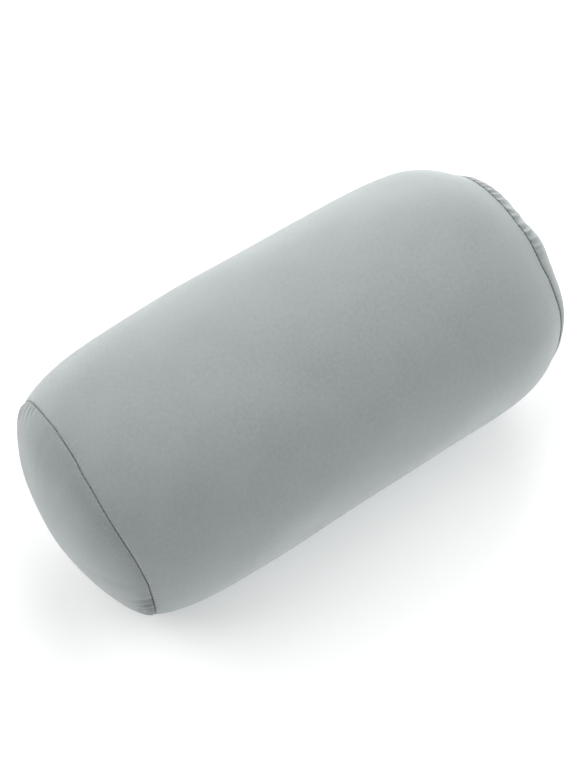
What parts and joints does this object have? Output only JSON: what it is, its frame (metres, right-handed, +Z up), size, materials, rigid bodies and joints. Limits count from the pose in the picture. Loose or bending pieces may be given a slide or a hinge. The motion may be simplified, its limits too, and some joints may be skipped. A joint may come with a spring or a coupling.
{
  "type": "microbead roll pillow",
  "caption": "Cylindrical roll pillow of stretch jersey filled tight with microbeads, with a domed round panel gathered into each end.",
  "frame": {"origin": "on the surface the pillow lies on, under the middle of its bounding box", "axes": "+X along the roll, towards the far end panel in the picture; +Y away from the camera side; +Z up"},
  "size_m": [0.3502, 0.172, 0.1678],
  "materials": {
    "tube_jersey": "smooth fine stretch jersey of polyamide and elastane, cool mid grey, soft satin",
    "end_jersey": "the same jersey cut as rounds, gathered at the rim"
  },
  "bodies": {
    "root": {"tube_panel": "tube_jersey", "end_panel_left": "end_jersey", "end_panel_right": "end_jersey"}
  },
  "joints": []
}
